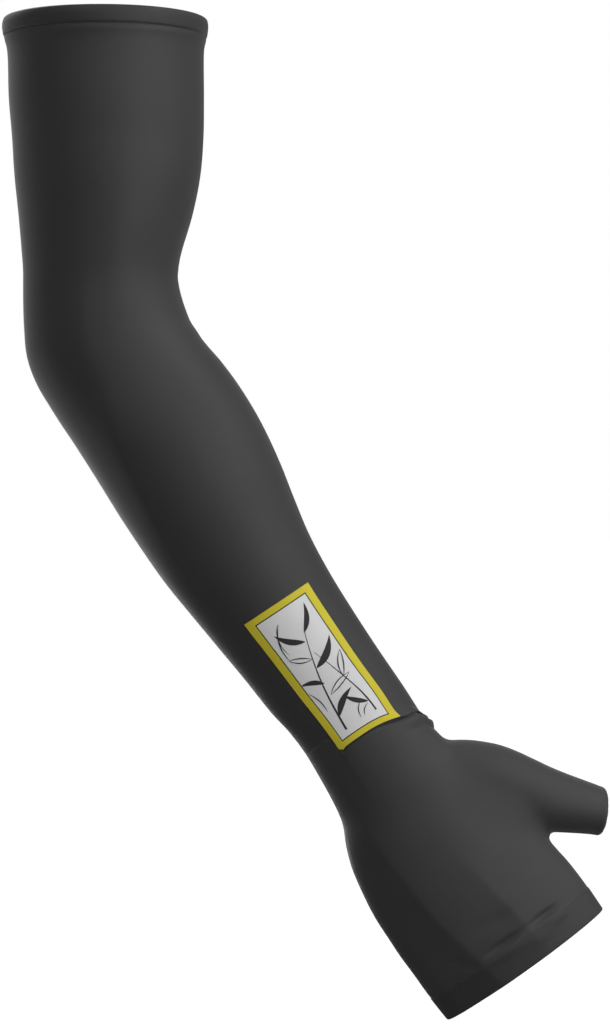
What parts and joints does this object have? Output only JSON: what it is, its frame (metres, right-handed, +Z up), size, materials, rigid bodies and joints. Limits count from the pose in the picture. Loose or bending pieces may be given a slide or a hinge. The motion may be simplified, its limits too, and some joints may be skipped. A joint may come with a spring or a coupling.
{
  "type": "arm sleeve with fingerless hand cover",
  "caption": "Stretch-knit arm sleeve in its worn, bent shape, with a fingerless hand cover, a short thumb tube and a framed print on the forearm.",
  "frame": {"origin": "middle of the upper opening, level with its rim", "axes": "+Z up along the upper arm and out of the upper opening, +X towards the thumb's side, -Y the arm's outer side with the print"},
  "size_m": [0.3027, 0.098, 0.5004],
  "materials": {
    "charcoal_knit": "smooth fine stretch knit with a soft sheen",
    "hem_knit": "double-turned fine knit, stitched",
    "yellow_print": "matte printed film on knit",
    "pale_print": "matte printed film on knit"
  },
  "bodies": {
    "root": {"upper_hem": "hem_knit", "arm_tube": "charcoal_knit", "hand_cover": "charcoal_knit", "knuckle_hem": "hem_knit", "print_frame": "yellow_print", "print_field": "pale_print"}
  },
  "joints": []
}
